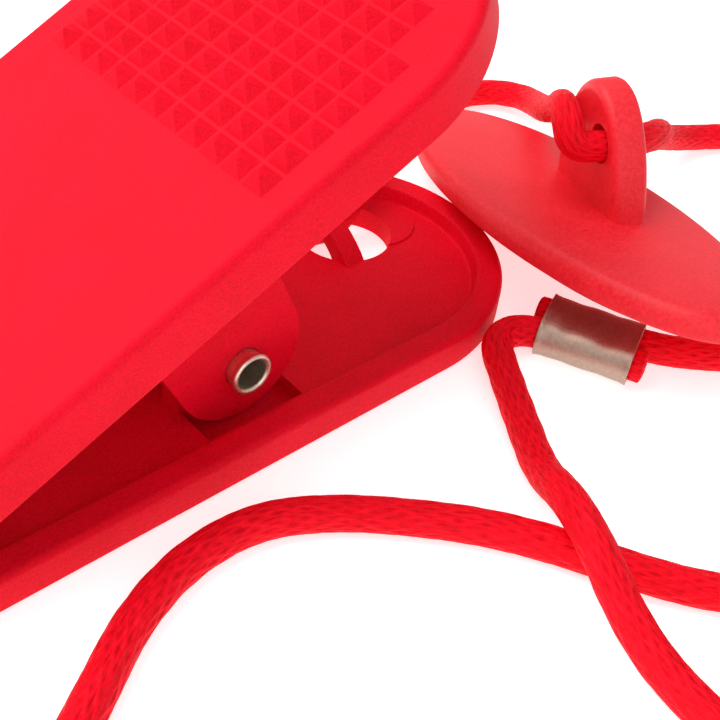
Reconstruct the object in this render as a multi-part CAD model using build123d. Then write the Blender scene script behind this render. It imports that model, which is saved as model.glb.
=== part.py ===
from build123d import *
from math import cos, pi, radians, sin, tan
import os

# Safety-key lanyard: a sprung two-lever plastic clip on a closed loop of braided cord,
# with a crimp ferrule and an oval magnetic key. Millimetres. +X runs along the clip from
# the rivet to the finger ends, +Z is up, and the clip stands on Z = 0 with the rivet
# over the origin.

# ---------------------------------------------------------------- driving dimensions
rivet_height = 5.3             # rivet axis above the table
rivet_radius = 1.42
rivet_bore_radius = 1.16
rivet_half_length = 9.6
rivet_head_radius = 2.3
rivet_head_thickness = 0.4
running_clearance = 0.05

lower_jaw_end = -29.7
lower_end_centre = 16.5        # of the rounded finger end, from the rivet
lower_half_width = 13.2        # also the radius of the rounded end
lower_rim_height = 3.0
lower_wall = 2.2
lower_floor = 1.7
lower_lug_inner, lower_lug_outer = 4.9, 6.45
lower_lug_radius = 4.0
recess_floor = 0.5             # under the upper lever's lugs
jaw_rib_height, jaw_rib_pitch = 0.6, 1.6

rest_angle = 26.25             # between the two levers, jaws closed
upper_jaw_end = -25.6
upper_jaw_half_width = 13.0
upper_end_centre = 16.6        # along the lever, from the rivet
upper_end_radius = 13.9
upper_skirt_edge = 11.1        # heights above the rivet axis, square to the lever
upper_ceiling = 13.2
upper_face = 15.17
upper_wall = 2.0
upper_lug_inner, upper_lug_outer = 6.66, 8.36
upper_lug_x, upper_lug_z = 0.2, 0.74
upper_lug_radius = 5.1
jaw_lip_edge, tooth_edge, tooth_pitch = 10.35, 8.9, 3.1
grip_start, grip_radius, grip_height = 5.3, 11.6, 0.5
edge_round = 0.5

window_y = 3.2                 # the cord's window in the lower lever, off the middle
window_end_radius = 3.9
window_start, window_round = 13.9, 19.85
bar_start, bar_end = 16.8, 18.7

spring_coil_inner, spring_coil_outer = 1.8, 2.6
spring_half_width, spring_gap = 4.3, 0.12
spring_leg_radius, spring_leg_y, spring_leg_length = 0.4, 3.7, 6.5

key_centre = (34.43, -8.54, 4.3)
key_normal = (0.133, 0.1116, 0.9848)
key_long_axis = (-0.2603, -0.9548, 0.1434)
key_half_length, key_half_width = 21.4, 8.95
key_flange = 2.2
key_edge_chamfer = 0.6
boss_half_length, boss_half_width = 15.5, 5.9
boss_depth, base_thickness = 1.9, 0.8
magnet_radius, magnet_thickness = 4.9, 2.0
fin_x, fin_y, fin_turn, fin_lean = 0.6, 2.2, -12.0, 8.0
fin_half_length, fin_height, fin_thickness = 5.9, 10.2, 3.0
fin_hole_radius = 1.6
fin_hole_x, fin_hole_height = 2.0, 5.75

cord_diameter = 2.5
cord_radius = cord_diameter / 2
ferrule_left, ferrule_right = (25.05, -14.85), (28.2, -21.6)
ferrule_wall = 0.4
strand_height = cord_radius + ferrule_wall + 0.05
strand_offset = 1.3            # each strand's centre to the ferrule's middle

coil_centre = (22.8, -62.0)
coil_inner, coil_outer = 10.15, 17.85
coil_bottom, coil_top = 0.6, 5.6
coil_length = 2 * 2 * pi * (11.4 + 14.0 + 16.6)
tie_thickness, tie_width, tie_angle = 0.5, 3.0, 285.0

# ---------------------------------------------------------------- routes of the cord
# From the ferrule's right end through it, round to the clip's near side and over to the coil.
route_out = [
    (27.36, -22.88, strand_height), (25.45, -18.75, strand_height), (23.3, -14.18, strand_height),
    (20.3, -13.75, 1.65), (18.1, -17.2, 1.4), (15.6, -21.2, 1.25), (12.6, -25.7, 1.6), (10.4, -29.3, 3.9), (8.6, -33.2, 4.1), (7.3, -37.2, 2.2),
    (6.3, -41.6, 1.3), (6.0, -47.4, 1.35), (6.15, -54.4, 1.85), (6.2, -62.0, 1.9),
]
# From the coil, across under the first strand, round the jaws, over the lower lever's far
# rim, under its cord bar, back over the rim and up to the key's fin.
route_back = [
    (31.6, -47.92, 4.35), (26.9, -44.9, 3.6), (21.6, -43.7, 1.7), (16.8, -42.0, 1.25), (13.6, -38.8, 1.25),
    (11.2, -35.0, 1.25), (8.9, -30.6, 1.25), (6.2, -26.6, 1.25), (2.9, -23.1, 1.25), (-0.9, -19.7, 1.25),
    (-5.4, -17.2, 1.25), (-10.8, -17.1, 1.25), (-16.0, -18.9, 1.25), (-20.6, -22.0, 1.25), (-25.6, -25.2, 1.25),
    (-31.4, -25.6, 1.25), (-36.8, -22.4, 1.25), (-40.2, -16.6, 1.25), (-41.4, -9.2, 1.25), (-40.4, -1.2, 1.25),
    (-38.0, 7.0, 1.25), (-33.0, 13.6, 1.25), (-25.0, 17.4, 1.25), (-16.0, 18.8, 1.25), (-7.0, 19.2, 1.25),
    (1.8, 19.0, 1.3), (7.8, 17.6, 2.4), (11.0, 14.9, 5.1), (12.8, 11.4, 5.9), (13.6, 8.2, 4.4),
    (15.2, 6.0, 1.9), (17.9, 5.2, 1.35), (20.5, 4.7, 1.7), (22.8, 5.5, 4.0), (25.2, 7.7, 5.7),
    (28.3, 10.3, 5.1), (32.8, 12.8, 2.7), (38.0, 14.7, 1.3), (44.0, 15.7, 1.25), (49.2, 14.5, 1.3),
    (50.6, 11.2, 1.9), (48.6, 7.6, 3.3), (45.0, 3.8, 5.6), (41.4, 0.2, 8.6), (38.0, -2.8, 11.3),
    (34.6, -5.0, 13.6), (32.3, -7.3, 14.6), (31.9, -8.7, 12.4), (34.2, -9.75, 12.1),
    (37.5, -11.05, 12.4), (41.8, -10.4, 11.2), (46.2, -7.4, 8.4), (50.8, -5.0, 5.4), (55.6, -3.5, 2.9),
    (60.6, -3.6, 1.4), (65.6, -6.0, 1.25), (69.8, -11.6, 1.25),
    (71.4, -20.0, 1.25), (68.4, -26.4, 1.25), (62.6, -30.8, 1.25), (56.4, -33.2, 1.25), (49.9, -33.6, 1.25),
    (43.9, -31.6, 1.25), (38.7, -28.7, 1.25), (34.1, -25.6, 1.35), (29.89, -22.15, strand_height),
    (27.95, -17.9, strand_height), (25.89, -13.57, strand_height),
]


# ---------------------------------------------------------------- small tools
def box_between(x0, x1, y0, y1, z0, z1):
    return Pos((x0 + x1) / 2, (y0 + y1) / 2, (z0 + z1) / 2) * Box(x1 - x0, y1 - y0, z1 - z0)


def cylinder_y(radius, y0, y1, x=0.0, z=0.0):
    """A cylinder along Y from y0 to y1."""
    return Pos(x, (y0 + y1) / 2, z) * Rot(90, 0, 0) * Cylinder(radius, y1 - y0)


def rod(start, end, radius):
    """A straight round wire between two points."""
    axis = Vector(*end) - Vector(*start)
    return Solid.make_cylinder(radius, axis.length, Plane(origin=start, z_dir=axis))


def lever_outline(jaw_x, jaw_half_width, end_centre, end_radius, inset=0.0):
    """A lever seen from above: square jaw end, half-round finger end."""
    radius = end_radius - inset
    half = jaw_half_width - inset
    jaw = jaw_x + inset
    edges = [
        Line((jaw, -half), (end_centre, -radius)),
        ThreePointArc((end_centre, -radius), (end_centre + radius, 0), (end_centre, radius)),
        Line((end_centre, radius), (jaw, half)),
        Line((jaw, half), (jaw, -half)),
    ]
    return make_face(Curve() + edges)


def prism(face, z0, z1):
    return extrude(Pos(0, 0, z0) * face, z1 - z0)


def edges_at(solid, height):
    """The edges lying flat at one height."""
    return solid.edges().filter_by_position(Axis.Z, height - 1e-3, height + 1e-3)


def lug(x, z, radius, far_z, y0, y1):
    """A pivot lug: a round end on a straight-sided tab, standing across Y."""
    tab = box_between(x - radius, x + radius, y0, y1, min(z, far_z), max(z, far_z))
    return tab + cylinder_y(radius, y0, y1, x, z)


def cord_tube(points):
    """Round cord along straight runs joined by tangent arcs; returns the solid and its length."""
    corners = [Vector(*p) for p in points]
    radii = []
    for before, corner, after in zip(corners, corners[1:], corners[2:]):
        half_turn = radians((corner - before).get_angle(after - corner)) / 2
        shorter = min((corner - before).length, (after - corner).length)
        radii.append(0.45 * shorter / tan(half_turn))
    path = FilletPolyline(*corners, radius=radii)
    section = Plane(origin=corners[0], z_dir=corners[1] - corners[0]) * Circle(cord_radius)
    return sweep(section, path=path), path.length


# ---------------------------------------------------------------- lower lever
def build_lower_lever():
    whole = lever_outline(lower_jaw_end, lower_half_width, lower_end_centre, lower_half_width)
    inside = lever_outline(lower_jaw_end, lower_half_width, lower_end_centre, lower_half_width, lower_wall)
    body = prism(whole, 0, lower_rim_height)
    body = fillet(edges_at(body, lower_rim_height), edge_round)
    body -= prism(inside, lower_floor, lower_rim_height + 1)
    for side in (-1, 1):
        y0, y1 = sorted((side * lower_lug_inner, side * lower_lug_outer))
        body += lug(0, rivet_height, lower_lug_radius, lower_floor - 0.5, y0, y1)
        y0, y1 = sorted((side * lower_lug_outer, side * 10.0))
        body -= box_between(-3.9, 4.3, y0, y1, recess_floor, lower_floor + 0.01)
    body -= cylinder_y(rivet_radius, -12, 12, 0, rivet_height)
    for k in range(3):
        x = lower_jaw_end + lower_wall + 1.2 + k * jaw_rib_pitch
        body += box_between(x, x + 0.8, -10.2, 10.2, lower_floor - 0.2, lower_floor + jaw_rib_height)
    body += Pos(23.0, 3.1, lower_floor) * Cylinder(3.5, 0.3)
    body -= box_between(window_start, window_round, window_y + 0.4, 8.2, -1, lower_floor + 1)
    body -= Pos(window_round, window_y, 0) * Cylinder(window_end_radius, 8)
    bar_top = ThreePointArc((-0.8, lower_floor - 0.3), (5.0, 4.6), (10.4, lower_floor - 0.3))
    bar_under = ThreePointArc((1.2, lower_floor - 0.3), (5.0, 3.3), (8.6, lower_floor - 0.3))
    feet = [Line(bar_top @ 0, bar_under @ 0), Line(bar_under @ 1, bar_top @ 1)]
    profile = make_face(Curve() + [bar_top, bar_under] + feet)
    bar = extrude(Plane(origin=(bar_start, 0, 0), x_dir=(0, 1, 0), z_dir=(1, 0, 0)) * profile, bar_end - bar_start)
    return body + bar


# ---------------------------------------------------------------- upper lever
def build_upper_lever():
    """Built square to its own plate, rivet axis on the origin."""
    outline = (upper_jaw_end, upper_jaw_half_width, upper_end_centre, upper_end_radius)
    body = prism(lever_outline(*outline), upper_skirt_edge, upper_face)
    body = fillet(edges_at(body, upper_face), edge_round)
    body -= prism(lever_outline(*outline, upper_wall), upper_skirt_edge - 1, upper_ceiling)
    for side in (-1, 1):
        y0, y1 = sorted((side * upper_lug_inner, side * upper_lug_outer))
        body += lug(upper_lug_x, upper_lug_z, upper_lug_radius, upper_ceiling + 0.5, y0, y1)
    body -= cylinder_y(rivet_radius + running_clearance, -12, 12)
    half = upper_jaw_half_width - 0.05
    body += box_between(upper_jaw_end, upper_jaw_end + 2.2, -half, half, jaw_lip_edge, upper_ceiling + 0.5)
    for k in range(-3, 4):
        y = k * tooth_pitch
        body += box_between(upper_jaw_end + 1.4, upper_jaw_end + 3.0, y - 0.8, y + 0.8, tooth_edge, upper_ceiling + 0.5)
    pad = box_between(grip_start, upper_end_centre, -grip_radius, grip_radius, upper_face - 0.3, upper_face + grip_height)
    pad += Pos(upper_end_centre, 0, upper_face + (grip_height - 0.3) / 2) * Cylinder(grip_radius, grip_height + 0.3)
    return body + pad


def on_upper(solid):
    """From the upper lever's own frame to its place at rest."""
    return Pos(0, 0, rivet_height) * Rot(0, -rest_angle, 0) * solid


# ---------------------------------------------------------------- rivet and spring
def build_rivet():
    tube = cylinder_y(rivet_radius, -rivet_half_length, rivet_half_length)
    head = cylinder_y(rivet_head_radius, upper_lug_outer + 0.15, upper_lug_outer + 0.15 + rivet_head_thickness)
    bore = cylinder_y(rivet_bore_radius, -20, 20)
    return Pos(0, 0, rivet_height) * (tube + head - bore)


def spring_sleeve(y0, y1):
    return cylinder_y(spring_coil_outer, y0, y1) - cylinder_y(spring_coil_inner, y0 - 1, y1 + 1)


def build_spring_halves():
    """The coil split at its middle: one half stays with each lever."""
    mean = (spring_coil_inner + spring_coil_outer) / 2
    lower = spring_sleeve(-spring_half_width, -spring_gap / 2)
    rest = lower_floor + spring_leg_radius + 0.02 - rivet_height
    lower += rod((0.3, -spring_leg_y, -mean), (spring_leg_length, -spring_leg_y, rest), spring_leg_radius)
    lower = Pos(0, 0, rivet_height) * lower
    upper = spring_sleeve(spring_gap / 2, spring_half_width)
    rest = upper_ceiling - spring_leg_radius - 0.02
    upper += rod((0.3, spring_leg_y, mean), (spring_leg_length, spring_leg_y, rest), spring_leg_radius)
    return lower, on_upper(upper)


# ---------------------------------------------------------------- key
key_plane = Plane(origin=key_centre, x_dir=key_long_axis, z_dir=key_normal)


def build_key():
    flange = extrude(Ellipse(key_half_length, key_half_width), key_flange)
    flange = chamfer(edges_at(flange, key_flange), key_edge_chamfer)
    boss = prism(Ellipse(boss_half_length, boss_half_width).face(), base_thickness - boss_depth, 0.1)
    fin_side = Ellipse(fin_half_length, fin_height) - Pos(0, -50) * Rectangle(100, 100)
    fin = extrude(Plane.XZ * fin_side, fin_thickness / 2, both=True)
    fin += box_between(-fin_half_length, fin_half_length, -fin_thickness / 2, fin_thickness / 2, -0.6, 0)
    fin_place = Pos(fin_x, fin_y, key_flange) * Rot(0, 0, fin_turn) * Rot(fin_lean, 0, 0)
    fin = fin_place * fin
    hole = fin_place * cylinder_y(fin_hole_radius, -9, 9, fin_hole_x, fin_hole_height)
    pocket_floor = base_thickness - boss_depth
    pocket = Pos(0, 0, pocket_floor + magnet_thickness / 2) * Cylinder(magnet_radius, magnet_thickness)
    body = flange + boss + fin - hole - pocket
    base = prism(Ellipse(boss_half_length, boss_half_width).face(), -boss_depth, pocket_floor)
    return key_plane * body, key_plane * base, key_plane * pocket


# ---------------------------------------------------------------- ferrule, cord and tie
def stadium(half_spacing, radius):
    return SlotCenterToCenter(2 * half_spacing, 2 * radius)


def build_ferrule():
    start = Vector(ferrule_left[0], ferrule_left[1], strand_height)
    end = Vector(ferrule_right[0], ferrule_right[1], strand_height)
    axis = end - start
    section = Plane(origin=start, x_dir=axis.cross(Vector(0, 0, 1)), z_dir=axis)
    ring = stadium(strand_offset, cord_radius + ferrule_wall) - stadium(strand_offset, cord_radius)
    return extrude(section * ring, axis.length)


def build_coil(*strands):
    x, y = coil_centre
    ring = Pos(x, y, (coil_bottom + coil_top) / 2) * (
        Cylinder(coil_outer, coil_top - coil_bottom) - Cylinder(coil_inner, coil_top)
    )
    for strand in strands:
        ring -= strand
    return ring


def build_tie():
    """A flat band once round the coil's bundle."""
    mean = (coil_inner + coil_outer) / 2
    width, height = coil_outer - coil_inner, coil_top - coil_bottom
    band = Box(width + 2 * tie_thickness, tie_width, height + 2 * tie_thickness) - Box(width, tie_width + 1, height)
    band = Pos(mean, 0, 0) * band
    x, y = coil_centre
    return Pos(x, y, (coil_bottom + coil_top) / 2) * Rot(0, 0, tie_angle) * band


# ---------------------------------------------------------------- write the parts
spring_lower_half, spring_upper_half = build_spring_halves()
key_body, key_base, key_magnet = build_key()
cord_out, length_out = cord_tube(route_out)
cord_back, length_back = cord_tube(route_back)
tie = build_tie()

parts = {
    "lower_lever": build_lower_lever(),
    "upper_lever": on_upper(build_upper_lever()),
    "pivot_rivet": build_rivet(),
    "spring_lower_half": spring_lower_half,
    "spring_upper_half": spring_upper_half,
    "crimp_ferrule": build_ferrule(),
    "key_body": key_body,
    "key_base": key_base,
    "key_magnet": key_magnet,
    "cord_out": cord_out,
    "cord_back": cord_back,
    "cord_coil": build_coil(cord_out, cord_back) - tie,
    "coil_tie": tie,
}

os.makedirs("parts", exist_ok=True)
for name, solid in parts.items():
    export_step(solid, "parts/" + name + ".step")
    box = solid.bounding_box()
    print(name, len(solid.solids()), "solid", round(solid.volume, 1), "mm3", box.min, box.max)

section_area = pi * cord_radius ** 2
for name, solid, length in (("cord_out", cord_out, length_out), ("cord_back", cord_back, length_back)):
    print(name, "radius", cord_radius, "length", round(length, 1), "volume ratio", round(solid.volume / length / section_area, 3))
print("cord radius", cord_radius, "whole cord", round(length_out + coil_length + length_back, 1))
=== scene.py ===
import math

import bmesh
import bpy
import numpy as np
from mathutils import Matrix, Vector


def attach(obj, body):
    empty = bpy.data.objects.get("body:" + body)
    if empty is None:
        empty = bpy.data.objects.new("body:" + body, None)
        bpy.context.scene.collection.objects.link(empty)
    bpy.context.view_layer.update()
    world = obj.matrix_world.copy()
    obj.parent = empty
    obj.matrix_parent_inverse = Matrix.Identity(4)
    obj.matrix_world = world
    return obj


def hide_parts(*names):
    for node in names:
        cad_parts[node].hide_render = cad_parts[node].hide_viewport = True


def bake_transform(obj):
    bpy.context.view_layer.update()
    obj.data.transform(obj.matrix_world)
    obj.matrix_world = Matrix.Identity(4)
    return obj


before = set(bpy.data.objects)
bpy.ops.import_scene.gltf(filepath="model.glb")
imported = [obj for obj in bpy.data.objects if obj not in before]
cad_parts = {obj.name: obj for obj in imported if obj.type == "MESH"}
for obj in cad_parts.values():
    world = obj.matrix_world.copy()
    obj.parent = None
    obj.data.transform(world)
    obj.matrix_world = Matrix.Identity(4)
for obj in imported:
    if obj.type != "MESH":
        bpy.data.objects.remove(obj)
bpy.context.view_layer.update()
bpy.context.scene.view_settings.view_transform = "Standard"

MM = 0.001
ROOT, UPPER = "clip_base", "squeeze_lever"
RIVET_Z = 5.3
REST_ANGLE = math.radians(26.25)
UPPER_AT_REST = Matrix.Translation((0, 0, RIVET_Z)) @ Matrix.Rotation(-REST_ANGLE, 4, "Y")


# ---------------------------------------------------------------- camera
def add_camera():
    data = bpy.data.cameras.new("camera")
    camera = bpy.data.objects.new("camera", data)
    bpy.context.scene.collection.objects.link(camera)
    data.sensor_width = 36.0
    data.lens = 61.2
    data.clip_start = 0.002
    right = Vector((0.742, -0.663, 0.101)).normalized()
    forward = Vector((0.553, 0.520, -0.651)).normalized()
    up = right.cross(forward).normalized()
    right = forward.cross(up)
    turn = Matrix((right, up, -forward)).transposed().to_4x4()
    camera.matrix_world = Matrix.Translation(Vector((-40.1, -56.9, 60.8)) * MM) @ turn
    bpy.context.scene.camera = camera


add_camera()


# ---------------------------------------------------------------- mesh tools (millimetres)
def new_object(name, verts, faces):
    mesh = bpy.data.meshes.new(name)
    mesh.from_pydata([tuple(v) for v in verts], [], faces)
    mesh.validate()
    work = bmesh.new()
    work.from_mesh(mesh)
    bmesh.ops.remove_doubles(work, verts=work.verts, dist=1e-5)
    bmesh.ops.recalc_face_normals(work, faces=work.faces)
    work.to_mesh(mesh)
    work.free()
    obj = bpy.data.objects.new(name, mesh)
    bpy.context.scene.collection.objects.link(obj)
    return obj


def loft(name, rings, closed=False):
    """Skin over rings of equal count, capped at both ends or closed into a hoop."""
    count = len(rings[0])
    verts = [p for ring in rings for p in ring]
    faces = []
    pairs = list(zip(range(len(rings)), range(1, len(rings))))
    if closed:
        pairs.append((len(rings) - 1, 0))
    for a, b in pairs:
        for k in range(count):
            j = (k + 1) % count
            faces.append((a * count + k, a * count + j, b * count + j, b * count + k))
    if not closed:
        faces.append(tuple(reversed(range(count))))
        faces.append(tuple((len(rings) - 1) * count + k for k in range(count)))
    return new_object(name, verts, faces)


def circle(x, y, r, count=48):
    """Points round a circle, from its +x side."""
    turns = [2 * math.pi * k / count for k in range(count)]
    return [(x + r * math.cos(a), y + r * math.sin(a)) for a in turns]


def lathe_y(name, profile, z, count):
    """Revolve a closed (radius, y) profile about the Y direction at height z."""
    rings = []
    for k in range(count):
        a = 2 * math.pi * k / count
        rings.append([(r * math.cos(a), y, z + r * math.sin(a)) for r, y in profile])
    return loft(name, rings, closed=True)


def block(x0, x1, y0, y1, z0, z1):
    ring = [(x0, y0), (x1, y0), (x1, y1), (x0, y1)]
    return loft("block", [[(x, y, z) for x, y in ring] for z in (z0, z1)])


def cylinder_z(x, y, r, z0, z1):
    return loft("cylinder", [[(px, py, z) for px, py in circle(x, y, r)] for z in (z0, z1)])


def cylinder_y(x, z, r, y0, y1):
    return loft("cylinder", [[(px, y, pz) for px, pz in circle(x, z, r)] for y in (y0, y1)])


def rounded_box_outline(x0, x1, y0, y1, r, steps=8):
    left, right, low, high = x0 + r, x1 - r, y0 + r, y1 - r
    points = []
    for cx, cy, start in ((right, high, 0), (left, high, 90), (left, low, 180), (right, low, 270)):
        for k in range(steps + 1):
            a = math.radians(start + 90 * k / steps)
            points.append((cx + r * math.cos(a), cy + r * math.sin(a)))
    return points


def prism_z(outline, z0, z1):
    return loft("prism", [[(x, y, z) for x, y in outline] for z in (z0, z1)])


def prism_y(outline, y0, y1):
    return loft("prism", [[(x, y, z) for x, z in outline] for y in (y0, y1)])


def evaluated_mesh(obj):
    graph = bpy.context.evaluated_depsgraph_get()
    graph.update()
    return bpy.data.meshes.new_from_object(obj.evaluated_get(graph))


def apply_modifiers(obj):
    mesh = evaluated_mesh(obj)
    obj.modifiers.clear()
    obj.data = mesh


def combine(obj, tool, operation):
    """Boolean with another object, which is used up."""
    change = obj.modifiers.new("combine", "BOOLEAN")
    change.operation = operation
    change.object = tool
    change.solver = "EXACT"
    apply_modifiers(obj)
    bpy.data.objects.remove(tool)


def cut(obj, *tools):
    for tool in tools:
        combine(obj, tool, "DIFFERENCE")


def fuse(obj, *tools):
    for tool in tools:
        combine(obj, tool, "UNION")


def finish_piece(obj, name, body, material, matrix=None, bevel=0.25, segments=3, angle=32):
    """Soften the sharp edges, scale to metres and put the piece on its body.

    matrix places it in millimetres first. A piece with no body is left unattached.
    """
    obj.name = name
    if matrix is not None:
        obj.data.transform(matrix)
    obj.data.transform(Matrix.Scale(MM, 4))
    if bevel:
        soften = obj.modifiers.new("soft_edges", "BEVEL")
        soften.width = bevel * MM
        soften.segments = segments
        soften.limit_method = "ANGLE"
        soften.angle_limit = math.radians(angle)
        soften.harden_normals = False
        soften.use_clamp_overlap = True
        apply_modifiers(obj)
    for face in obj.data.polygons:
        face.use_smooth = True
    weigh = obj.modifiers.new("even_shading", "WEIGHTED_NORMAL")
    weigh.keep_sharp = False
    obj.data.materials.clear()
    obj.data.materials.append(material)
    if body:
        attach(obj, body)
    return obj


# ---------------------------------------------------------------- materials
def start_material(name):
    material = bpy.data.materials.new(name)
    material.use_nodes = True
    tree = material.node_tree
    shader = tree.nodes["Principled BSDF"]
    return material, tree, shader


def ramp(tree, source, stops):
    node = tree.nodes.new("ShaderNodeValToRGB")
    elements = node.color_ramp.elements
    elements[0].position, elements[0].color = stops[0][0], (*stops[0][1], 1)
    elements[1].position, elements[1].color = stops[-1][0], (*stops[-1][1], 1)
    for position, color in stops[1:-1]:
        elements.new(position).color = (*color, 1)
    tree.links.new(source, node.inputs["Fac"])
    return node.outputs["Color"]


def grain(tree, vector, scale, detail=3.0, roughness=0.6):
    node = tree.nodes.new("ShaderNodeTexNoise")
    node.inputs["Scale"].default_value = scale
    node.inputs["Detail"].default_value = detail
    node.inputs["Roughness"].default_value = roughness
    tree.links.new(vector, node.inputs["Vector"])
    return node.outputs["Fac"]


def bump(tree, shader, height, distance):
    node = tree.nodes.new("ShaderNodeBump")
    node.inputs["Strength"].default_value = 1.0
    node.inputs["Distance"].default_value = distance
    tree.links.new(height, node.inputs["Height"])
    tree.links.new(node.outputs["Normal"], shader.inputs["Normal"])


def vary_roughness(tree, shader, source, low, high):
    spread = tree.nodes.new("ShaderNodeMapRange")
    spread.inputs["To Min"].default_value = low
    spread.inputs["To Max"].default_value = high
    tree.links.new(source, spread.inputs["Value"])
    tree.links.new(spread.outputs["Result"], shader.inputs["Roughness"])


def math_node(tree, operation, *values):
    node = tree.nodes.new("ShaderNodeMath")
    node.operation = operation
    for place, value in enumerate(values):
        if isinstance(value, (int, float)):
            node.inputs[place].default_value = value
        else:
            tree.links.new(value, node.inputs[place])
    return node.outputs["Value"]


def spark_plastic(name, dark, light, size, depth, rough, specular):
    """Moulded plastic with a fine spark-eroded grain, size and depth in millimetres."""
    material, tree, shader = start_material(name)
    place = tree.nodes.new("ShaderNodeTexCoord").outputs["Object"]
    fine = grain(tree, place, 1 / (size * MM), 3.0, 0.65)
    coarse = grain(tree, place, 1 / (4.0 * MM), 2.0, 0.5)
    mixed = math_node(tree, "MULTIPLY_ADD", fine, 0.75, math_node(tree, "MULTIPLY", coarse, 0.25))
    tree.links.new(ramp(tree, mixed, [(0.36, dark), (0.62, light)]), shader.inputs["Base Color"])
    vary_roughness(tree, shader, fine, rough - 0.08, rough + 0.12)
    shader.inputs["Specular IOR Level"].default_value = specular
    bump(tree, shader, fine, depth * MM)
    return material


def worn_metal(name, dark, light, rough, size=0.5):
    """Bare metal with patches, size in millimetres, and fine scratches."""
    material, tree, shader = start_material(name)
    place = tree.nodes.new("ShaderNodeTexCoord").outputs["Object"]
    patches = grain(tree, place, 1 / (size * MM), 5.0, 0.6)
    tree.links.new(ramp(tree, patches, [(0.3, dark), (0.7, light)]), shader.inputs["Base Color"])
    vary_roughness(tree, shader, patches, rough - 0.1, rough + 0.15)
    shader.inputs["Metallic"].default_value = 1.0
    bump(tree, shader, grain(tree, place, 1 / (0.15 * MM), 3.0), 0.01 * MM)
    return material


def crossing_plaits(tree, vector, count, lead):
    """Two families of strands crossing round the cord, high in the middle of each strand."""
    split = tree.nodes.new("ShaderNodeSeparateXYZ")
    tree.links.new(vector, split.inputs["Vector"])
    angle = math_node(tree, "ARCTAN2", split.outputs["Z"], split.outputs["Y"])
    around = math_node(tree, "MULTIPLY", angle, count)
    along = math_node(tree, "MULTIPLY", split.outputs["X"], lead)
    families = []
    for operation in ("ADD", "SUBTRACT"):
        wave = math_node(tree, "SINE", math_node(tree, operation, around, along))
        families.append(math_node(tree, "ABSOLUTE", wave))
    return math_node(tree, "MAXIMUM", families[0], math_node(tree, "MULTIPLY", families[1], 0.93))


def braid_fabric(name):
    """Satin braid: the mesh's own along and around values place the fine strands."""
    material, tree, shader = start_material(name)
    source = tree.nodes.new("ShaderNodeAttribute")
    source.attribute_name = "strand"
    stretch = tree.nodes.new("ShaderNodeMapping")
    stretch.inputs["Scale"].default_value = (0.55, 4.2, 4.2)
    tree.links.new(source.outputs["Vector"], stretch.inputs["Vector"])
    fibres = grain(tree, stretch.outputs["Vector"], 1.6, 4.0, 0.65)
    patches = grain(tree, source.outputs["Vector"], 0.9, 2.0, 0.5)
    shadow, middle, shine = (0.62, 0.0, 0.008), (0.90, 0.0004, 0.012), (1.0, 0.006, 0.03)
    color = ramp(tree, fibres, [(0.30, shadow), (0.52, middle), (0.74, shine)])
    shade = tree.nodes.new("ShaderNodeMix")
    shade.data_type = "RGBA"
    shade.blend_type = "MULTIPLY"
    shade.inputs["Factor"].default_value = 0.35
    tree.links.new(color, shade.inputs["A"])
    tree.links.new(ramp(tree, patches, [(0.35, (0.92, 0.9, 0.9)), (0.6, (1, 1, 1))]), shade.inputs["B"])
    tree.links.new(shade.outputs["Result"], shader.inputs["Base Color"])
    shader.inputs["Roughness"].default_value = 0.6
    shader.inputs["Specular IOR Level"].default_value = 0.12
    plaits = crossing_plaits(tree, source.outputs["Vector"], 6, 1.7)
    weave = math_node(tree, "ADD", math_node(tree, "MULTIPLY", fibres, 0.5), plaits)
    bump(tree, shader, weave, 0.16 * MM)
    return material


RED = spark_plastic(
    "red_spark_plastic", (0.68, 0.0005, 0.011), (0.88, 0.0016, 0.024),
    size=0.16, depth=0.05, rough=0.55, specular=0.11,
)
RED_SMOOTH = spark_plastic(
    "red_smooth_plastic", (0.70, 0.0006, 0.010), (0.80, 0.001, 0.014),
    size=0.6, depth=0.004, rough=0.30, specular=0.3,
)
KEY_RED = spark_plastic(
    "key_spark_plastic", (0.74, 0.004, 0.016), (0.88, 0.020, 0.034),
    size=0.3, depth=0.02, rough=0.5, specular=0.42,
)
CORD_RED = braid_fabric("red_braid")
RIVET_METAL = worn_metal("rivet_metal", (0.66, 0.60, 0.46), (0.86, 0.82, 0.70), 0.34, 0.2)
SPRING_METAL = worn_metal("spring_metal", (0.30, 0.30, 0.32), (0.60, 0.60, 0.62), 0.3)
FERRULE_METAL = worn_metal("ferrule_metal", (0.40, 0.30, 0.23), (0.52, 0.42, 0.34), 0.48, 0.25)
MAGNET_METAL = worn_metal("magnet_metal", (0.45, 0.45, 0.47), (0.72, 0.72, 0.74), 0.3)

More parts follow.
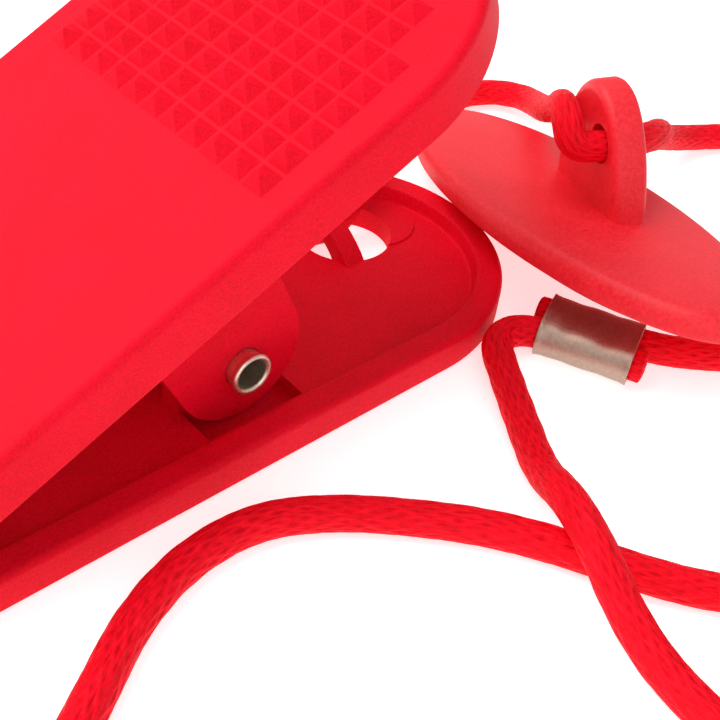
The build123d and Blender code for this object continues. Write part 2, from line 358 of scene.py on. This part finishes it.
# ---------------------------------------------------------------- cord
CORD_D = 2.5
STRAND_Z = 1.7
ROUTE_OUT = [
    (27.36, -22.88, STRAND_Z), (25.45, -18.75, STRAND_Z), (23.3, -14.18, STRAND_Z),
    (20.3, -13.75, 1.65), (18.1, -17.2, 1.4), (15.6, -21.2, 1.25), (12.6, -25.7, 1.6), (10.4, -29.3, 3.9),
    (8.6, -33.2, 4.1), (7.3, -37.2, 2.2),
    (6.3, -41.6, 1.3), (6.0, -47.4, 1.35), (6.15, -54.4, 1.85), (6.2, -62.0, 1.9),
]
ROUTE_BACK = [
    (31.6, -47.92, 4.35), (26.9, -44.9, 3.6), (21.6, -43.7, 1.7), (16.8, -42.0, 1.25), (13.6, -38.8, 1.25),
    (11.2, -35.0, 1.25), (8.9, -30.6, 1.25), (6.2, -26.6, 1.25), (2.9, -23.1, 1.25), (-0.9, -19.7, 1.25),
    (-5.4, -17.2, 1.25), (-10.8, -17.1, 1.25), (-16.0, -18.9, 1.25), (-20.6, -22.0, 1.25),
    (-25.6, -25.2, 1.25), (-31.4, -25.6, 1.25), (-36.8, -22.4, 1.25), (-40.2, -16.6, 1.25),
    (-41.4, -9.2, 1.25), (-40.4, -1.2, 1.25),
    (-38.0, 7.0, 1.25), (-33.0, 13.6, 1.25), (-25.0, 17.4, 1.25), (-16.0, 18.8, 1.25), (-7.0, 19.2, 1.25),
    (1.8, 19.0, 1.3), (7.8, 17.6, 2.4), (11.0, 14.9, 5.1), (12.8, 11.4, 5.9), (13.6, 8.2, 4.4),
    (15.2, 6.0, 1.9), (17.9, 5.2, 1.35), (20.5, 4.7, 1.7), (22.8, 5.5, 4.0), (25.2, 7.7, 5.7),
    (28.3, 10.3, 5.1), (32.8, 12.8, 2.7), (38.0, 14.7, 1.3), (44.0, 15.7, 1.25), (49.2, 14.5, 1.3),
    (50.6, 11.2, 1.9), (48.6, 7.6, 3.3), (45.0, 3.8, 5.6), (41.4, 0.2, 8.6), (38.0, -2.8, 11.3),
    (34.6, -5.0, 13.6), (32.3, -7.3, 14.6), (31.9, -8.7, 12.4), (34.2, -9.75, 12.1),
    (37.5, -11.05, 12.4), (41.8, -10.4, 11.2), (46.2, -7.4, 8.4), (50.8, -5.0, 5.4), (55.6, -3.5, 2.9),
    (60.6, -3.6, 1.4), (65.6, -6.0, 1.25), (69.8, -11.6, 1.25),
    (71.4, -20.0, 1.25), (68.4, -26.4, 1.25), (62.6, -30.8, 1.25), (56.4, -33.2, 1.25), (49.9, -33.6, 1.25),
    (43.9, -31.6, 1.25), (38.7, -28.7, 1.25), (34.1, -25.6, 1.35), (29.89, -22.15, STRAND_Z),
    (27.95, -17.9, STRAND_Z), (25.89, -13.57, STRAND_Z),
]
COIL_CENTRE = (22.8, -62.0)
COIL_RADII = [16.6, 14.0, 11.4, 11.4, 14.0, 16.6]
COIL_LOW, COIL_HIGH = 1.88, 4.35
PER_TURN = 18
LAST_TURN_SHORT = 122 / 360     # the strand leaves the coil before its last turn closes
STEP_ACROSS = 0.18              # share of a turn in which the strand moves to the next radius
STEP_UP = 0.28                  # share of a turn in which it climbs to the upper layer
CORNER_CUT = 1.012              # a smooth line runs inside its points by this much


def coil_points():
    """Six turns, three below and three on top, wound from the outside in and back out."""
    turns = len(COIL_RADII)
    points = []
    for k in range(1, int(round(PER_TURN * (turns - LAST_TURN_SHORT)))):
        turn = k / PER_TURN
        low = min(int(turn), turns - 1)
        high = min(low + 1, turns - 1)
        mix = min(max((turn - low - (1 - STEP_ACROSS)) / STEP_ACROSS, 0.0), 1.0)
        radius = (COIL_RADII[low] * (1 - mix) + COIL_RADII[high] * mix) * CORNER_CUT
        rise = min(max((turn - (turns / 2 - STEP_UP)) / STEP_UP, 0.0), 1.0)
        angle = math.pi + 2 * math.pi * turn
        points.append((
            COIL_CENTRE[0] + radius * math.cos(angle),
            COIL_CENTRE[1] + radius * math.sin(angle),
            COIL_LOW + (COIL_HIGH - COIL_LOW) * rise,
        ))
    return points


def nurbs_line(name, points):
    curve = bpy.data.curves.new(name, "CURVE")
    curve.dimensions = "3D"
    curve.resolution_u = 14
    spline = curve.splines.new("NURBS")
    spline.points.add(len(points) - 1)
    for point, place in zip(spline.points, points):
        point.co = (place[0] * MM, place[1] * MM, place[2] * MM, 1)
    spline.order_u = 3
    spline.use_endpoint_u = True
    obj = bpy.data.objects.new(name, curve)
    bpy.context.scene.collection.objects.link(obj)
    return obj


def centreline(points, step):
    """The route's smooth line, read back at an even spacing, in millimetres."""
    guide = nurbs_line("cord_guide", points)
    mesh = evaluated_mesh(guide)
    line = np.array([v.co[:] for v in mesh.vertices]) / MM
    bpy.data.objects.remove(guide)
    bpy.data.meshes.remove(mesh)
    keep = np.r_[True, np.linalg.norm(np.diff(line, axis=0), axis=1) > 1e-4]
    line = line[keep]
    along = np.r_[0, np.cumsum(np.linalg.norm(np.diff(line, axis=0), axis=1))]
    spots = np.linspace(0, along[-1], int(along[-1] / step) + 1)
    even = np.c_[[np.interp(spots, along, line[:, k]) for k in range(3)]].T
    return even, along[-1]


def tube_frames(line):
    """Directions across the line that don't twist along it."""
    ahead = np.gradient(line, axis=0)
    ahead /= np.linalg.norm(ahead, axis=1)[:, None]
    side = np.cross(ahead[0], (0, 0, 1))
    side /= np.linalg.norm(side)
    sides, others = [], []
    for direction in ahead:
        side = side - direction * (side @ direction)
        side /= np.linalg.norm(side)
        sides.append(side)
        others.append(np.cross(direction, side))
    return np.array(sides), np.array(others)


def braided_radius(s, a):
    """The cord's radius at s along it and angle a round it: crossing plaits, and a slow waver."""
    plait, plait_length, relief = 8 * a, 2.6, 0.12
    lead = 2 * np.pi * s / plait_length
    over = np.abs(np.cos((plait + lead) / 2))
    under = np.abs(np.cos((plait - lead) / 2))
    weave = 0.5 + 0.5 * np.cos(plait)
    raised = np.maximum(over * (0.75 + 0.25 * weave), under * (1.0 - 0.25 * weave))
    radius = CORD_D / 2 - 0.10 + relief * raised
    return radius * (1 + 0.010 * np.sin(s / 3.1) + 0.008 * np.sin(s / 7.7 + 2))


def cord_mesh(name, line, around=48):
    """A braided tube with rounded ends; its strand attribute holds each point's place on it."""
    sides, others = tube_frames(line)
    step = np.linalg.norm(line[1] - line[0])
    along = np.arange(len(line)) * step
    turn = 2 * np.pi * np.arange(around) / around
    s, a = np.meshgrid(along, turn, indexing="ij")
    radius = braided_radius(s, a)
    ring = sides[:, None, :] * np.cos(a)[..., None] + others[:, None, :] * np.sin(a)[..., None]
    verts = (line[:, None, :] + ring * radius[..., None]).reshape(-1, 3)
    count = len(line)
    k, j = np.meshgrid(np.arange(count - 1), np.arange(around), indexing="ij")
    n = (j + 1) % around
    here, there = k * around, (k + 1) * around
    quads = np.stack([here + j, here + n, there + n, there + j], -1).reshape(-1, 4)
    faces = [tuple(q) for q in quads.tolist()]
    places = np.stack([s, np.cos(a), np.sin(a)], -1).reshape(-1, 3)
    for end, out in ((0, -1), (count - 1, 1)):
        way = (line[end] - line[end - out]) / step
        first = end * around
        edge = list(range(first, first + around))
        for shrink, push in ((0.9, 0.12), (0.6, 0.22), (0.25, 0.26)):
            base = len(verts)
            extra = line[end] + ring[end] * (radius[end] * shrink)[:, None] + way * push
            verts = np.vstack([verts, extra])
            flat = np.stack([np.full(around, push * 3), np.cos(turn) * shrink, np.sin(turn) * shrink], -1)
            places = np.vstack([places, flat])
            new = list(range(base, base + around))
            for i in range(around):
                after = (i + 1) % around
                faces.append((edge[i], edge[after], new[after], new[i]))
            edge = new
        faces.append(tuple(edge))
    mesh = bpy.data.meshes.new(name)
    mesh.from_pydata((verts * MM).tolist(), [], faces)
    mesh.validate()
    attribute = mesh.attributes.new("strand", "FLOAT_VECTOR", "POINT")
    attribute.data.foreach_set("vector", places.ravel())
    work = bmesh.new()
    work.from_mesh(mesh)
    bmesh.ops.recalc_face_normals(work, faces=work.faces)
    work.to_mesh(mesh)
    work.free()
    for face in mesh.polygons:
        face.use_smooth = True
    obj = bpy.data.objects.new(name, mesh)
    bpy.context.scene.collection.objects.link(obj)
    obj.data.materials.append(CORD_RED)
    return obj


cord_line, cord_length = centreline(ROUTE_OUT + coil_points() + ROUTE_BACK, 0.4)
cord = cord_mesh("braided_cord", cord_line)
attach(cord, ROOT)
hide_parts("cord_out", "cord_back", "cord_coil")
print("cord length mm", round(cord_length, 1))


# ---------------------------------------------------------------- lever outlines
def lever_outline(jaw_x, jaw_half, end_x, end_r, inset=0.0, corner=1.0):
    """A lever from above, walked anticlockwise from its near jaw corner."""
    radius, half, jaw = end_r - inset, jaw_half - inset, jaw_x + inset
    small = max(corner - inset, 0.12)
    slope = (radius - half) / (end_x - jaw)
    points = []
    corner_steps, side_steps, end_steps = 6, 24, 60

    def side_point(k):
        x = jaw + small + (end_x - jaw - small) * k / side_steps
        return x, half + slope * (x - jaw)

    for k in range(corner_steps + 1):
        a = math.radians(180 + 90 * k / corner_steps)
        points.append((jaw + small + small * math.cos(a), -half + small + small * math.sin(a)))
    for k in range(1, side_steps):
        x, y = side_point(k)
        points.append((x, -y))
    for k in range(end_steps + 1):
        a = math.radians(-90 + 180 * k / end_steps)
        points.append((end_x + radius * math.cos(a), radius * math.sin(a)))
    for k in range(side_steps - 1, 0, -1):
        points.append(side_point(k))
    for k in range(corner_steps + 1):
        a = math.radians(90 + 90 * k / corner_steps)
        points.append((jaw + small + small * math.cos(a), half - small + small * math.sin(a)))
    return points


def shell(name, outline, steps):
    """A skin through (inset, height) steps of one outline, closed at both ends."""
    return loft(name, [[(x, y, z) for x, y in lever_outline(*outline, inset)] for inset, z in steps])


def lug_outline(x, z, r, far_z, skirt=0.0, steps=28):
    """A round end on a tab that runs to far_z."""
    up = far_z > z
    points = []
    for k in range(steps + 1):
        a = math.pi + math.pi * k / steps if up else math.pi * k / steps
        points.append((x + r * math.cos(a), z + r * math.sin(a)))
    if up:
        points += [(x + r + skirt, far_z), (x - r - skirt, far_z)]
    else:
        points += [(x - r - skirt, far_z), (x + r + skirt, far_z)]
    return points


# ---------------------------------------------------------------- upper lever
UPPER_OUTLINE = (-25.6, 13.0, 16.6, 13.9)     # jaw x, half width there, end centre x, end radius
FACE, CEILING, SKIRT = 15.17, 13.2, 11.1
UPPER_LUG_INNER, UPPER_LUG_OUTER, UPPER_LUG_R = 6.66, 8.36, 5.1
TOOTH_PITCH, TOOTH_HALF, TOOTH_EDGE = 3.1, 0.8, 8.9
INTO_PLATE = 0.4                              # how far joined shapes run into the plate
PITCH, GRIP_X, GRIP_ROWS, GRIP_CELLS, GRIP_R = 2.1, 5.3, 12, 11, 12.0
BORE_R = 1.47


def build_upper_lever():
    steps = [(2.0, CEILING), (2.0, SKIRT + 0.35), (1.86, SKIRT + 0.08), (1.6, SKIRT), (0.4, SKIRT)]
    steps += [(0.12, SKIRT + 0.1), (0.02, SKIRT + 0.4), (0.0, 13.0), (0.0, FACE - 0.75)]
    rounding, count = 0.7, 7
    for k in range(1, count + 1):
        a = math.radians(90 * k / count)
        steps.append((rounding * (1 - math.cos(a)), FACE - rounding * (1 - math.sin(a))))
    steps.append((0.95, FACE))
    body = shell("upper_lever_shell", UPPER_OUTLINE, steps)
    for side in (-1, 1):
        y0, y1 = sorted((side * UPPER_LUG_INNER, side * UPPER_LUG_OUTER))
        ear = lug_outline(0.2, 0.74, UPPER_LUG_R, CEILING + INTO_PLATE, 0.25)
        fuse(body, prism_y(ear, y0, y1))
    lip = rounded_box_outline(-25.6, -23.4, -12.9, 12.9, 0.4)
    fuse(body, prism_z(lip, 10.35, CEILING + INTO_PLATE))
    for k in range(-3, 4):
        y = k * TOOTH_PITCH
        tooth = block(-24.2, -22.6, y - TOOTH_HALF, y + TOOTH_HALF, TOOTH_EDGE, CEILING + INTO_PLATE)
        fuse(body, tooth)
    cut(body, cylinder_y(0, 0, BORE_R, -12, 12))
    return finish_piece(body, "upper_lever_body", UPPER, RED, UPPER_AT_REST, 0.22)


def in_grip(x, y, limit):
    """Whether a point is on the gripped part of the face, which ends round like the lever."""
    if x <= UPPER_OUTLINE[2]:
        return abs(y) <= limit
    return math.hypot(x - UPPER_OUTLINE[2], y) <= limit


def build_grip():
    """Rows of small pyramids with plain facets and slightly worn ridges."""
    verts, faces = [], []
    low, high, tip = FACE - 0.12, FACE + 0.78, 0.05
    for i in range(GRIP_ROWS):
        for j in range(GRIP_CELLS):
            x0 = GRIP_X + i * PITCH
            y0 = (j - GRIP_CELLS / 2) * PITCH
            corners = [(x0 + a * PITCH, y0 + b * PITCH) for a in (0, 1) for b in (0, 1)]
            if not all(in_grip(x, y, GRIP_R) for x, y in corners):
                continue
            k = len(verts)
            xm, ym = x0 + PITCH / 2, y0 + PITCH / 2
            for half, z in ((PITCH / 2, low), (tip, high)):
                for a, b in ((-1, -1), (1, -1), (1, 1), (-1, 1)):
                    verts.append((xm + a * half, ym + b * half, z))
            for a in range(4):
                b = (a + 1) % 4
                faces.append((k + a, k + b, k + 4 + b, k + 4 + a))
            faces.append((k + 4, k + 5, k + 6, k + 7))
    grip = new_object("grip", verts, faces)
    return finish_piece(grip, "finger_grip_pyramids", UPPER, RED, UPPER_AT_REST, 0.05, 2, 20)


# ---------------------------------------------------------------- lower lever
LOWER_OUTLINE = (-29.7, 13.2, 16.5, 13.2)     # jaw x, half width there, end centre x, end radius
RIM, FLOOR_Z = 3.0, 1.7
LOWER_LUG_INNER, LOWER_LUG_OUTER, LOWER_LUG_R = 4.9, 6.45, 4.0
RECESS_X, RECESS_FLOOR, RECESS_OUTER = (-3.9, 4.3), 0.5, 10.0
RIB_X, RIB_WIDTH, RIB_PITCH, RIB_HALF = -26.3, 0.8, 1.6, 10.2
WINDOW_X, WINDOW_Y = (13.9, 19.85), (3.6, 8.2)
WINDOW_END_X, WINDOW_END_Y, WINDOW_END_R = 19.84, 3.2, 3.9
BAR_X, BAR_ROOT = (16.8, 18.7), FLOOR_Z - 0.3


def bar_arch(first_y, span, height, order):
    """Points along one arch of the cord's bar, from first_y over a span."""
    count = 18
    points = []
    for k in order(range(count + 1)):
        t = k / count
        points.append((first_y + span * t, BAR_ROOT + height * math.sin(math.pi * t) ** 0.8))
    return points


def build_lower_lever():
    steps = [(0.45, 0.0), (0.15, 0.1), (0.0, 0.4), (0.0, RIM - 0.55)]
    rounding, count = 0.5, 6
    for k in range(1, count + 1):
        a = math.radians(90 * k / count)
        steps.append((rounding * (1 - math.cos(a)), RIM - rounding * (1 - math.sin(a))))
    steps += [(1.8, RIM), (2.05, RIM - 0.06), (2.2, RIM - 0.25)]
    steps += [(2.3, FLOOR_Z + 0.35), (2.4, FLOOR_Z + 0.1), (2.65, FLOOR_Z)]
    body = shell("lower_lever_shell", LOWER_OUTLINE, steps)
    for side in (-1, 1):
        y0, y1 = sorted((side * LOWER_LUG_INNER, side * LOWER_LUG_OUTER))
        fuse(body, prism_y(lug_outline(0, RIVET_Z, LOWER_LUG_R, FLOOR_Z - 0.5, 0.3), y0, y1))
        y0, y1 = sorted((side * LOWER_LUG_OUTER, side * RECESS_OUTER))
        cut(body, block(*RECESS_X, y0, y1, RECESS_FLOOR, 6.0))
    for k in range(3):
        x = RIB_X + RIB_PITCH * k
        fuse(body, block(x, x + RIB_WIDTH, -RIB_HALF, RIB_HALF, FLOOR_Z - 0.3, FLOOR_Z + 0.6))
    fuse(body, cylinder_z(23.0, 3.1, 3.5, FLOOR_Z - 0.3, FLOOR_Z + 0.16))
    cut(body, prism_z(rounded_box_outline(*WINDOW_X, *WINDOW_Y, 1.5), -1, 6))
    cut(body, prism_z(circle(WINDOW_END_X, WINDOW_END_Y, WINDOW_END_R, 72), -1, 6))
    cut(body, cylinder_y(0, RIVET_Z, 1.43, -12, 12))
    bar = bar_arch(-0.8, 11.2, 3.2, list) + bar_arch(1.2, 7.4, 1.9, reversed)
    fuse(body, loft("bar", [[(x, y, z) for y, z in bar] for x in BAR_X]))
    return finish_piece(body, "lower_lever_body", ROOT, RED, None, 0.22)


# ---------------------------------------------------------------- rivet and spring
def build_rivet():
    profile = [
        (1.18, -9.35), (1.26, -9.52), (1.42, -9.6), (1.58, -9.54), (1.62, -9.38), (1.52, -9.2), (1.42, -9.05),
        (1.42, 8.5), (2.1, 8.5), (2.28, 8.6), (2.28, 8.8), (2.1, 8.93), (1.5, 9.0), (1.3, 9.1), (1.18, 9.0),
    ]
    rivet = lathe_y("rivet", profile, RIVET_Z, 72)
    finish_piece(rivet, "hollow_rivet", ROOT, RIVET_METAL, None, 0)
    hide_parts("pivot_rivet")


def sweep_wire(name, path, radius, around=14):
    line = np.array(path, float)
    sides, others = tube_frames(line)
    rings = []
    for k in range(around):
        a = 2 * math.pi * k / around
        rings.append(line + radius * (sides * math.cos(a) + others * math.sin(a)))
    rings = np.transpose(np.array(rings), (1, 0, 2))
    return loft(name, [[tuple(p) for p in ring] for ring in rings])


def build_spring():
    """One coiled wire: a leg along the tray, the coil, and a leg up under the plate."""
    turns, coil_r, leg_y, wire_r = 7.0, 2.2, 3.8, 0.4
    leg_steps, coil_steps = 16, 260
    path = []
    for k in range(leg_steps + 1):
        t = k / leg_steps
        path.append((6.3 - 6.0 * t, -leg_y, RIVET_Z + (-3.16 * (1 - t) - coil_r * t)))
    start, total = -math.pi / 2, 2 * math.pi * turns + math.pi + REST_ANGLE
    for k in range(1, coil_steps):
        t = k / coil_steps
        a = start - total * t
        path.append((coil_r * math.cos(a), -leg_y + 2 * leg_y * t, RIVET_Z + coil_r * math.sin(a)))
    cos, sin = math.cos(REST_ANGLE), math.sin(REST_ANGLE)
    for k in range(leg_steps + 1):
        t = k / leg_steps
        x, n = 0.3 + 9.0 * t, coil_r + (12.75 - coil_r) * t
        path.append((x * cos - n * sin, leg_y, RIVET_Z + x * sin + n * cos))
    spring = sweep_wire("spring", path, wire_r)
    finish_piece(spring, "torsion_spring", None, SPRING_METAL, None, 0)
    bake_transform(spring)
    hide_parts("spring_lower_half", "spring_upper_half")


# ---------------------------------------------------------------- key
KEY_CENTRE = Vector((34.43, -8.54, 4.3))
KEY_NORMAL = Vector((0.133, 0.1116, 0.9848)).normalized()
KEY_LONG = Vector((-0.2603, -0.9548, 0.1434))
KEY_LONG = (KEY_LONG - KEY_NORMAL * KEY_LONG.dot(KEY_NORMAL)).normalized()
KEY_CROSS = KEY_NORMAL.cross(KEY_LONG)
KEY_TURN = Matrix((KEY_LONG, KEY_CROSS, KEY_NORMAL)).transposed().to_4x4()
KEY_PLACE = Matrix.Translation(KEY_CENTRE) @ KEY_TURN
KEY_A, KEY_B = 21.4, 8.95
KEY_TOP = 2.2
BOSS_A, BOSS_B = 15.5, 5.9
FIN_HALF, FIN_HEIGHT, FIN_ROOT = 5.9, 10.2, -0.6
FIN_PLACE = Matrix.Translation((0.6, 2.2, KEY_TOP)) @ Matrix.Rotation(math.radians(-12), 4, "Z")
FIN_PLACE = FIN_PLACE @ Matrix.Rotation(math.radians(8), 4, "X")
FIN_HOLE_X, FIN_HOLE_Z, FIN_HOLE_R = 2.0, 5.75, 1.6
MAGNET_POCKET_R = 4.95


def oval_shell(name, a, b, steps, count=128):
    rings = []
    for inset, z in steps:
        ring = []
        for k in range(count):
            t = 2 * math.pi * k / count
            ring.append(((a - inset) * math.cos(t), (b - inset) * math.sin(t), z))
        rings.append(ring)
    return loft(name, rings)


def build_fin():
    """A half oval slab with softened rims, standing on the flange."""
    side = [(0.85, 0.0), (1.2, 0.18), (1.42, 0.45), (1.5, 0.85)]
    sections = [(-y, inset) for y, inset in reversed(side)] + side
    count = 40
    rings = []
    for y, inset in sections:
        half = FIN_HALF - inset
        ring = [(-half, y, FIN_ROOT)]
        for k in range(count, -1, -1):
            a = math.pi * k / count
            ring.append((half * math.cos(a), y, (FIN_HEIGHT - inset) * math.sin(a)))
        ring.append((half, y, FIN_ROOT))
        rings.append(ring)
    fin = loft("fin", rings)
    fin.data.transform(FIN_PLACE)
    return fin


def build_key():
    steps = [(3.2, 0.0), (0.5, 0.0), (0.14, 0.1), (0.0, 0.35), (0.0, 1.05)]
    steps += [(0.1, 1.4), (0.32, 1.75), (0.6, 2.02), (0.95, 2.18)]
    for k in range(1, 9):
        steps.append((0.95 + 7.4 * (k / 8), 2.18 + 0.3 * math.sin(math.pi / 2 * k / 8)))
    body = oval_shell("key", KEY_A, KEY_B, steps)
    fuse(body, oval_shell("boss", BOSS_A, BOSS_B, [(0.0, -1.1), (0.0, 0.4)]))
    fuse(body, build_fin())
    hole = cylinder_y(FIN_HOLE_X, FIN_HOLE_Z, FIN_HOLE_R, -9, 9)
    hole.data.transform(FIN_PLACE)
    cut(body, hole, cylinder_z(0, 0, MAGNET_POCKET_R, -1.6, 0.9))
    finish_piece(body, "key_flange_and_fin", ROOT, KEY_RED, KEY_PLACE, 0.3, 3, 38)
    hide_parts("key_body")
    base = oval_shell("base", BOSS_A, BOSS_B, [(0.35, -1.9), (0.1, -1.82), (0.0, -1.6), (0.0, -1.12)])
    finish_piece(base, "key_base_cover", ROOT, KEY_RED, KEY_PLACE, 0)
    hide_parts("key_base")


# ---------------------------------------------------------------- ferrule and tie
def hump(t, centre, width):
    return math.exp(-((t - centre) / width) ** 2)


def build_ferrule():
    """A flattened tube round two strands, dented twice by the crimp and flared at its ends."""
    start, end = Vector((25.05, -14.85, STRAND_Z)), Vector((28.2, -21.6, STRAND_Z))
    along = (end - start).normalized()
    across = Vector((-along.y, along.x, 0))
    length = (end - start).length
    strand_offset, count, stations = 1.3, 48, 25
    outer, inner = [], []
    for i in range(stations):
        t = i / (stations - 1)
        dent = 0.16 * (hump(t, 0.3, 0.09) + hump(t, 0.7, 0.09))
        flare = 0.12 * (hump(t, 0, 0.04) + hump(t, 1, 0.04))
        for rings, thick in ((outer, 0.4), (inner, 0.04)):
            r = CORD_D / 2 + thick + flare
            ring = []
            for k in range(count):
                a = 2 * math.pi * k / count
                c, s = math.cos(a), math.sin(a)
                x = strand_offset * max(-1, min(1, 3 * c)) + r * c
                z = r * s - dent * s ** 3
                place = start + along * (length * t) + across * x + Vector((0, 0, z))
                ring.append(tuple(place))
            rings.append(ring)
    rings = outer + list(reversed(inner))
    ferrule = loft("ferrule", rings, closed=True)
    finish_piece(ferrule, "crimped_ferrule", ROOT, FERRULE_METAL, None, 0.07, 2, 50)
    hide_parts("crimp_ferrule")


def build_tie():
    """A band round the coil's section, across its turns."""
    mean_r, angle, middle_z = 14.0, math.radians(285), 3.08
    outline = rounded_box_outline(-4.3, 4.3, -2.95, 2.95, 1.1)
    inner = rounded_box_outline(-3.95, 3.95, -2.62, 2.62, 0.9)
    out = Vector((math.cos(angle), math.sin(angle), 0))
    way = Vector((-math.sin(angle), math.cos(angle), 0))
    middle = Vector((*COIL_CENTRE, middle_z)) + out * mean_r
    rings = []
    for points, ends in ((outline, (-1.5, -1.3, 1.3, 1.5)), (inner, (1.4, -1.4))):
        for y in ends:
            shrink = 0.97 if abs(y) == 1.5 else 1.0
            ring = []
            for u, v in points:
                ring.append(tuple(middle + out * (u * shrink) + way * y + Vector((0, 0, v * shrink))))
            rings.append(ring)
    tie = loft("tie", rings, closed=True)
    finish_piece(tie, "coil_tie_band", ROOT, RED_SMOOTH, None, 0)
    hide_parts("coil_tie")


upper = build_upper_lever()
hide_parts("upper_lever")
build_grip()
lower = build_lower_lever()
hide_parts("lower_lever")
build_rivet()
build_spring()
build_key()
build_ferrule()
build_tie()

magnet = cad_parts["key_magnet"]
for material_slot in magnet.material_slots:
    material_slot.material = MAGNET_METAL


# ---------------------------------------------------------------- floor and light
LIGHT_TARGET = (0.01, 0, 0.01)


def add_floor():
    material, tree, shader = start_material("floor_paper")
    place = tree.nodes.new("ShaderNodeTexCoord").outputs["Object"]
    color = ramp(tree, grain(tree, place, 400, 2.0), [(0.3, (0.90, 0.90, 0.90)), (0.7, (0.94, 0.94, 0.94))])
    tree.links.new(color, shader.inputs["Base Color"])
    shader.inputs["Roughness"].default_value = 0.9
    shader.inputs["Emission Color"].default_value = (1, 1, 1, 1)
    shader.inputs["Emission Strength"].default_value = 0.6
    bpy.ops.mesh.primitive_plane_add(size=4.0, location=(0, 0, -0.00005))
    floor = bpy.context.object
    floor.name = "floor"
    floor.data.materials.append(material)


def add_light(name, place, size, power):
    """A round soft light aimed at the middle of the object."""
    data = bpy.data.lights.new(name, "AREA")
    data.shape = "DISK"
    data.size = size
    data.energy = power
    light = bpy.data.objects.new(name, data)
    bpy.context.scene.collection.objects.link(light)
    light.location = place
    light.rotation_euler = (Vector(LIGHT_TARGET) - Vector(place)).to_track_quat("-Z", "Y").to_euler()


def add_world(strength):
    world = bpy.data.worlds.new("studio")
    bpy.context.scene.world = world
    world.use_nodes = True
    background = world.node_tree.nodes["Background"]
    background.inputs["Color"].default_value = (1, 1, 1, 1)
    background.inputs["Strength"].default_value = strength


add_floor()
add_light("key_light", (-0.16, 0.20, 0.44), 0.50, 2.5)
add_light("fill_light", (-0.30, -0.55, 0.35), 0.50, 0.9)
add_world(0.55)
